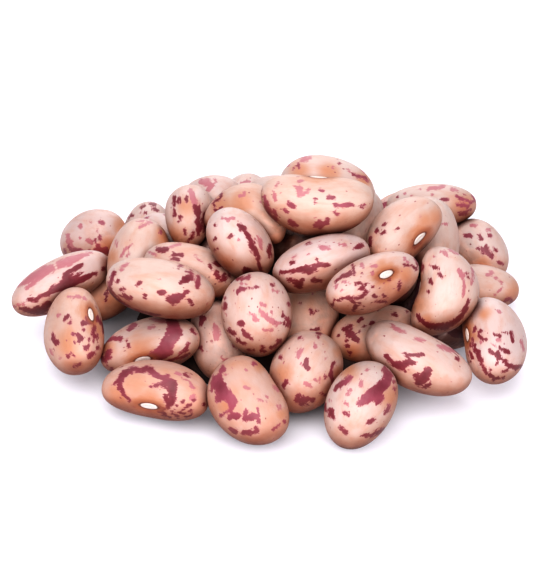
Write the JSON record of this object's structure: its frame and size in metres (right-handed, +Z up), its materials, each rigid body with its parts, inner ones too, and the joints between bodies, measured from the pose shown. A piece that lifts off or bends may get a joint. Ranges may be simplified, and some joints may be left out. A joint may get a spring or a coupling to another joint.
{
  "type": "heap of dried beans",
  "caption": "Loose heap of dried speckled kidney-shaped beans, lying as poured on a flat surface, with satin pink-tan skins, maroon marks and pale seam scars.",
  "frame": {"origin": "on the surface that the heap lies on, under the middle of the heap", "axes": "+Z up, -Y towards the side that the picture shows, +X to that side's right"},
  "size_m": [0.0723, 0.0679, 0.027],
  "materials": {
    "bean_skin": "satin, smooth dried bean skin, pink-tan with maroon marks"
  },
  "bodies": {
    "root": {"bean_heap": "bean_skin"}
  },
  "joints": []
}
